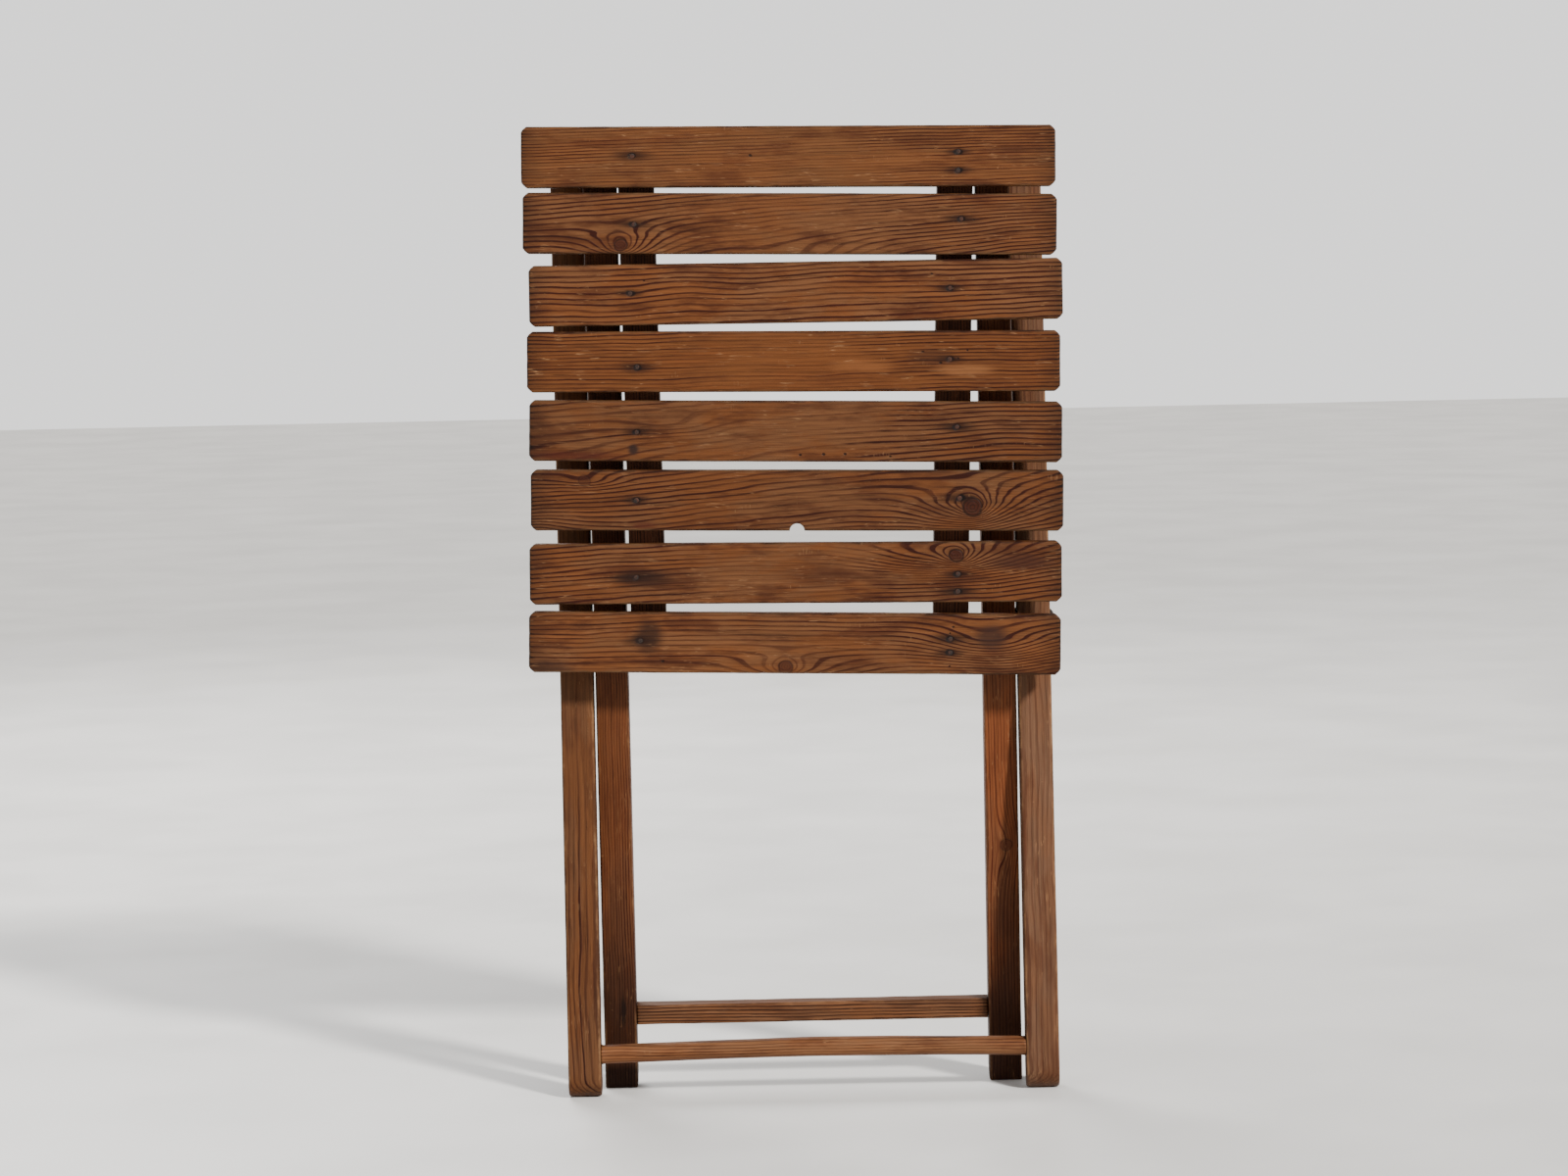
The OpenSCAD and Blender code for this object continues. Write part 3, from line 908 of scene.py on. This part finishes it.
for node, body in (
    ("inner_stretcher_nails", "inner_frame"),
    ("outer_stretcher_nails", "outer_frame"),
    ("crossbar_nails", "outer_frame"),
):
    parts = []
    points = points_of(node)
    for sign in (-1, 1):
        own = points[points[:, 0] * sign > 0]
        tip = own[:, 0].max() if sign > 0 else own[:, 0].min()
        centre = np.array([tip - sign * 0.15 * MM, own[:, 1].mean(), own[:, 2].mean()])
        axes = np.array([UP, np.cross(RIGHT * sign, UP), RIGHT * sign])
        length = (own[:, 0].max() - own[:, 0].min()) / MM
        parts.append(nail_mesh(axes, centre, length - 1.0, 2.8, 1.4, sign + 2.0))
    piece = joined(f"{node}_iron", parts)
    settle(piece, body, [node], nail_iron)


# ---- battens and legs

DARK = dict(
    early=rgb(90, 56, 36), warm=rgb(96, 55, 32), late=rgb(42, 22, 13),
    stain=rgb(54, 30, 19), pale=rgb(150, 112, 80), shade=1.6, ring=2.6,
    strength=(0.7, 0.6, 0.7), rim=0.5, scratches=0.3,
)
LEG_EDGE = 1.8
LEG_STEP = 9.0
BATTEN_BORE = 0.66  # of the half height of the nut that covers it


def bar_seat(timber):
    """The round seat across a batten's back, measured on the CAD batten."""
    back = -timber.size[2] / 2
    corners = timber.corners
    arc = corners[(corners[:, 2] > back + 0.1) & (corners[:, 2] < back + 4.3)]
    arc = arc[arc[:, 0] < -timber.size[0] / 4]
    middle = (arc[:, 0].min() + arc[:, 0].max()) / 2
    half = (arc[:, 0].max() - arc[:, 0].min()) / 2
    depth = arc[:, 2].max() - back
    half = half * 1.02
    radius = (half**2 + depth**2) / 2 / depth

    def shape(points):
        away = np.abs(points[:, 0] - middle)
        sunk = np.sqrt(np.maximum(radius**2 - away**2, 0)) - (radius - depth)
        low = (points[:, 2] < back + 2.5) & (away < half)
        out = points.copy()
        out[:, 2] += np.where(low, np.maximum(sunk, 0), 0)
        return out

    return shape, list(middle + half * np.linspace(-1, 1, 15))


for i, side in enumerate(SIDES):
    node = "batten_" + side
    timber = Timber(node, UP)
    shape, places = bar_seat(timber)
    piece = board(
        timber, f"{node}_timber", 1.2, 8.0, extra=(places, ()), seed=20 + i, amount=0.8,
        shape=shape, squares=6.0,
    )
    bolt = centre_of("top_pivot_bolt_" + side)
    nut_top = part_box("top_pivot_nut_" + side)[1][2]
    radius = (nut_top - bolt[2]) * BATTEN_BORE
    bored(piece, timber, [plug((0, bolt[1], bolt[2]), 2 * i - 1, 0.1, 0.2, radius)])
    material = wood(f"{node}_wood", timber.size, pith=(-70 + 160 * i, 30), seed=20.0 + i, **DARK)
    settle(piece, "tabletop", [node], material)


def square_plug(axes, centre, half, start, end, sign):
    """A square cutter along X, turned with its frame."""
    corners = []
    for x in (start, end):
        for a, b in ((-1, -1), (1, -1), (1, 1), (-1, 1)):
            corners.append((sign * x, *centre[1:]) + (axes[1] * a + axes[2] * b) * half)
    faces = [[0, 1, 2, 3], [7, 6, 5, 4], [0, 4, 5, 1], [1, 5, 6, 2], [2, 6, 7, 3], [3, 7, 4, 0]]
    if sign > 0:
        faces = [f[::-1] for f in faces]
    return new_piece("cutter", corners, faces, False)


LEG_LOOKS = dict(
    inner_leg_left=dict(
        early=rgb(98, 63, 40), warm=rgb(104, 62, 34), low_dark=0.8, pith=(60, 30),
        ring=2.4, strength=(0.7, 0.5, 0.5), shade=1.3, scratches=0.2,
        patches=[((-350, -3), (15, 3), rgb(14, 9, 7), 0.9)],
    ),
    inner_leg_right=dict(
        early=rgb(98, 61, 38), warm=rgb(108, 62, 34), low_dark=0.75, pith=(-50, 40),
        ring=2.6, strength=(0.7, 0.5, 0.5), shade=1.8, scratches=0.2,
        knots=[((-206, -3), 5.0, 0.6)], bends=[((-206, -3), (22, 8), 3.0)],
    ),
    outer_leg_left=dict(
        early=rgb(118, 82, 54), warm=rgb(120, 77, 44), edge_wear=0.8, pith=(-24, 60),
        ring=2.6, strength=(0.7, 0.22, 0.25), scratches=0.3, shade=0.86,
    ),
    outer_leg_right=dict(
        early=rgb(108, 81, 62), warm=rgb(112, 79, 56), edge_wear=0.6, pith=(40, 90),
        ring=2.2, strength=(0.3, 0.25, 0.3), low_dark=0.15, shade=1.35,
        scratches=0.25,
    ),
)
LEG_SHARED = dict(rim=0.3, staining=0.45)


def tenon_ends(node):
    """The place, half size and reach of the tenon at each end of a CAD bar."""
    points = points_of(node) - [MIDDLE_X, 0, 0]
    reach = np.abs(points[:, 0]).max()
    tip = points[np.abs(points[:, 0]) > reach - 0.5 * MM]
    ring = tip[np.hypot(*(tip[:, 1:] - tip[:, 1:].mean(0)).T) > 3 * MM]
    centre = (ring.min(0) + ring.max(0)) / 2
    half = np.hypot(*(ring[:, 1:] - centre[1:]).T).max()
    return np.array([MIDDLE_X, centre[1], centre[2]]), half, reach


def leg_cutters(kind, side, sign):
    """The bores, counterbore and mortises of one leg."""
    pivot = centre_of("scissor_bolt_" + side)
    pivot = (MIDDLE_X, pivot[1], pivot[2])
    cutters = [plug(pivot, sign, 0.1, 0.25, BOLT_HOLE)]
    if kind == "inner":
        upper = centre_of("top_pivot_bolt_" + side)
        cutters.append(plug((MIDDLE_X, upper[1], upper[2]), sign, 0.1, 0.25, BOLT_HOLE))
        low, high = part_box("scissor_nut_" + side)
        depth = max(abs(low[0] - MIDDLE_X), abs(high[0] - MIDDLE_X))
        cutters.append(plug(pivot, sign, 0.1, depth, (high[2] - low[2]) / 2 + 1 * MM))
    else:
        at, half, reach = tenon_ends("crossbar")
        cutters.append(plug(at, sign, 0.1, reach + MORTISE_GAP, half + MORTISE_GAP))
    bar = kind + "_stretcher"
    at, half, reach = tenon_ends(bar)
    side_half = half / math.sqrt(2) + MORTISE_GAP
    axes = Timber(bar, RIGHT).axes
    cutters.append(square_plug(axes, at, side_half, 0.1, reach + MORTISE_GAP, sign))
    return cutters


for i, side in enumerate(SIDES):
    sign = 2 * i - 1
    for kind in ("inner", "outer"):
        node = f"{kind}_leg_{side}"
        timber = Timber(node, UP)
        half_depth = timber.size[2] / 2
        rounds, ends = ((0, half_depth), (-1,)) if kind == "inner" else ((half_depth, 0), (1,))
        number = 5 + 2 * i + (kind == "outer")
        piece = board(
            timber, f"{node}_timber", LEG_EDGE, LEG_STEP, plan="side", rounds=rounds,
            seed=30 + number, ends=ends,
        )
        bored(piece, timber, leg_cutters(kind, side, sign))
        look = {**LEG_SHARED, **LEG_LOOKS[node]}
        material = wood(f"{node}_wood", timber.size, seed=40.0 + number, **look)
        settle(piece, f"{kind}_frame", [node], material)


# ---- bars

for kind, seed in (("inner", 60), ("outer", 61)):
    node = kind + "_stretcher"
    timber = Timber(node, RIGHT)
    at, half, reach = tenon_ends(node)
    full = np.abs(timber.corners[:, 1]) > timber.size[1] / 2 - 0.5
    shoulder = np.abs(timber.corners[full, 0]).max()
    whole = timber.size[0]
    timber.size[0] = 2 * shoulder
    body_piece = board(timber, "bar", 1.6, 8.0, seed=seed, amount=0.9, squares=4.0)
    timber.size[0] = whole
    tenons = [
        square_plug(timber.axes, at, half / math.sqrt(2), shoulder * MM - 0.5 * MM, reach, sign)
        for sign in (-1, 1)
    ]
    piece = joined(f"{node}_timber", [body_piece, *tenons])
    write_grain(piece, timber)
    look = {**DARK, "pith": (-40, 25)}
    if node == "inner_stretcher":
        look.update(early=rgb(104, 74, 52), warm=rgb(108, 72, 46), staining=0.4, edge_wear=0.6)
    material = wood(f"{node}_wood", timber.size, seed=float(seed), **look)
    settle(piece, kind + "_frame", [node], material)


def build_crossbar():
    """A hand-shaved round bar, bowed up a little in the middle, with round tenons."""
    timber = Timber("crossbar", RIGHT)
    leg_axes = Timber("outer_leg_left", UP).axes
    up, front = leg_axes[0], leg_axes[2]
    at, tenon, reach = tenon_ends("crossbar")
    points = points_of("crossbar") - at
    wide = np.hypot(points[:, 1], points[:, 2])
    radius = wide.max()
    shoulder = np.abs(points[wide > radius * 0.98, 0]).max()
    bow = 3.0 * MM
    around = 32
    inner = shoulder - 2 * MM
    places = [(-reach, tenon - 1 * MM), (-reach + 1 * MM, tenon), (-shoulder, tenon)]
    places += [(-shoulder + 0.01 * MM, radius - 1 * MM), (-shoulder + 0.8 * MM, radius - 0.2 * MM)]
    places += [(x, radius) for x in np.linspace(-inner, inner, 70)]
    places += [(-x, r) for x, r in places[4::-1]]
    rings = []
    for x, r in places:
        angle = np.linspace(0, 2 * math.pi, around, endpoint=False)
        own = np.stack([np.full(around, x), r * np.cos(angle), r * np.sin(angle)], 1)
        if r == radius:
            shaved = value_noise(own / MM, (60, 9, 9), 71) * 0.9 * MM
            flat = 0.35 * MM * np.clip(np.cos(angle * 4 + 0.6), 0, 1)
            own[:, 1:] *= (1 - (shaved + flat) / radius)[:, None]
        lift = bow * (1 - (x / shoulder) ** 2) if abs(x) < shoulder else 0
        rings.append(at + own[:, :1] * RIGHT + own[:, 1:2] * front + (own[:, 2:] + lift) * up)
    vertices = np.concatenate(rings)
    faces = [face[::-1] for face in skin(len(rings), around)]
    piece = new_piece("crossbar_timber", vertices, faces)
    write_grain(piece, timber)
    material = wood(
        "crossbar_wood", timber.size, seed=72.0, pith=(-30, 12), ring=2.6,
        strength=(0.5, 0.4, 0.5), early=rgb(138, 99, 68), warm=rgb(140, 94, 60), rim=0.0,
        edge_wear=0.0, staining=0.45, scratches=0.35, shade=1.1,
    )
    settle(piece, "outer_frame", ["crossbar"], material)


build_crossbar()


# ---- pivots


def round_part(node):
    """A round CAD part's centre, and how far each vertex is out from the middle and wide."""
    points = points_of(node)
    low, high = points.min(0), points.max(0)
    centre = np.array([MIDDLE_X, (low[1] + high[1]) / 2, (low[2] + high[2]) / 2])
    far = np.abs(points[:, 0] - MIDDLE_X)
    wide = np.hypot(points[:, 1] - centre[1], points[:, 2] - centre[2])
    return centre, far, wide


def build_bolt(node, sign):
    centre, far, wide = round_part(node)
    start, end, head = far.min(), far.max(), wide.max()
    shank = wide[far < start + 0.1 * MM].max()
    seat = far[wide > head * 0.99].min()
    height = end - seat
    dome = (head**2 + height**2) / 2 / height
    profile = [(start, shank - 0.9 * MM)]
    thread = 0.6 * MM
    for i in range(16):
        profile.append((start + thread * (i + 0.6), shank - (0.4 * MM if i % 2 else 0)))
    profile += [(seat, shank), (seat + 0.02 * MM, head - 0.5 * MM), (seat + 0.4 * MM, head)]
    for r in np.linspace(head * 0.97, head * 0.06, 12):
        lift = math.sqrt(dome**2 - r**2) - (dome - height)
        profile.append((seat + max(lift, 0.45 * MM), r))
    return turned(node + "_iron", profile, centre, sign)


def build_washer(node, sign):
    centre, far, wide = round_part(node)
    start, end, outer, bore = far.min(), far.max(), wide.max(), wide.min()
    edge = min(0.3 * MM, (end - start) / 4)
    profile = [(start, bore), (start, outer - edge), (start + edge, outer), (end - edge, outer)]
    profile += [(end, outer - edge), (end, bore), (start, bore)]
    return turned(node + "_iron", profile, centre, sign)


def build_nut(node, sign):
    centre, far, wide = round_part(node)
    start, end, bore = far.min(), far.max(), wide.min()
    flat = wide.max() * math.cos(math.pi / 6)
    turn = math.pi / 3

    def hexagon(i, angle, radius):
        corner = flat / math.cos((angle + turn / 2) % turn - turn / 2)
        return corner if i in (2, 3) else min(corner, radius)

    rise = 0.14 * (end - start)
    profile = [(start, bore), (start, flat * 1.01), (start + rise, flat), (end - rise, flat)]
    profile += [(end, flat * 1.01), (end, bore), (start, bore)]
    return turned(node + "_iron", profile, centre, sign, 48, hexagon)


for i, side in enumerate(SIDES):
    for pivot in ("top_pivot", "scissor"):
        for part, build in (("bolt", build_bolt), ("washer", build_washer), ("nut", build_nut)):
            node = f"{pivot}_{part}_{side}"
            settle(build(node, 2 * i - 1), "inner_frame", [node], hardware_iron)


# ---- floor, light, camera


def build_floor():
    size, cuts = 24.0, 12
    places = np.linspace(-size / 2, size / 2, cuts + 1)
    vertices = [(x, y, 0.0) for y in places for x in places]
    row = cuts + 1
    corners = [r * row + c for r in range(cuts) for c in range(cuts)]
    faces = [[v, v + 1, v + row + 1, v + row] for v in corners]
    floor = new_piece("floor", vertices, faces)
    n = Nodes("floor_paint")
    node = n.tree.nodes.new("ShaderNodeTexCoord")
    place = n.vector("MULTIPLY", node.outputs["Object"], (1000,) * 3)
    cloudy = n.noise(place, (260, 260, 260), 1, 4, 0.55)
    n.put(n.shader.inputs["Base Color"], n.mix(cloudy, rgb(214, 212, 208), rgb(228, 226, 223)))
    n.put(n.shader.inputs["Roughness"], n.step(cloudy, 0.3, 0.7, 0.38, 0.5))
    floor.data.materials.append(n.material)


def lamp(name, at, aim, energy, size, tint):
    data = bpy.data.lights.new(name, "AREA")
    data.shape = "DISK"
    data.size = size
    data.energy = energy
    data.color = tint
    light = bpy.data.objects.new(name, data)
    light.location = at
    light.rotation_euler = (Vector(aim) - Vector(at)).to_track_quat("-Z", "Y").to_euler()
    bpy.context.scene.collection.objects.link(light)


build_floor()
MIDDLE = (0.0, 0.0, 0.42)
lamp("fill", (-2.6, -2.4, 1.6), MIDDLE, 30, 2.2, (0.95, 0.97, 1.0))
lamp("rear", (-1.2, 2.8, 2.4), MIDDLE, 110, 1.6, (1.0, 1.0, 1.0))
sun = bpy.data.lights.new("key", "SUN")
sun.energy = 6.2
sun.angle = math.radians(7)
sun.color = (1.0, 0.98, 0.95)
key = bpy.data.objects.new("key", sun)
KEY_SIDE = math.radians(40)
KEY_RISE = math.radians(32)
level_side = math.sin(KEY_SIDE) * math.cos(KEY_RISE)
level_front = math.cos(KEY_SIDE) * math.cos(KEY_RISE)
toward = Vector((level_side, -level_front, math.sin(KEY_RISE)))
key.rotation_euler = (-toward).to_track_quat("-Z", "Y").to_euler()
bpy.context.scene.collection.objects.link(key)

world = bpy.data.worlds.new("studio")
world.use_nodes = True
tree = world.node_tree
sky = tree.nodes["Background"]
sky.inputs["Color"].default_value = (1.0, 0.99, 0.98, 1)
path = tree.nodes.new("ShaderNodeLightPath")
brightness = tree.nodes.new("ShaderNodeMix")
brightness.inputs["A"].default_value = 0.55
brightness.inputs["B"].default_value = 1.45
tree.links.new(path.outputs["Is Camera Ray"], brightness.inputs["Factor"])
tree.links.new(brightness.outputs[0], sky.inputs["Strength"])
bpy.context.scene.world = world

CAMERA_DISTANCE = 4.03
CAMERA_RISE = math.radians(5.0)
CAMERA_ROLL = math.radians(1.2)
CAMERA_AIM = Vector((-0.012, -0.03, 0.4447))
camera_data = bpy.data.cameras.new("camera")
camera_data.lens = 106
camera_data.sensor_width = 36
camera = bpy.data.objects.new("camera", camera_data)
camera.location = CAMERA_AIM + Vector(
    (0, -CAMERA_DISTANCE * math.cos(CAMERA_RISE), CAMERA_DISTANCE * math.sin(CAMERA_RISE))
)
facing = (CAMERA_AIM - camera.location).to_track_quat("-Z", "Y")
camera.rotation_euler = (facing @ Euler((0, 0, -CAMERA_ROLL)).to_quaternion()).to_euler()
bpy.context.scene.collection.objects.link(camera)
bpy.context.scene.camera = camera
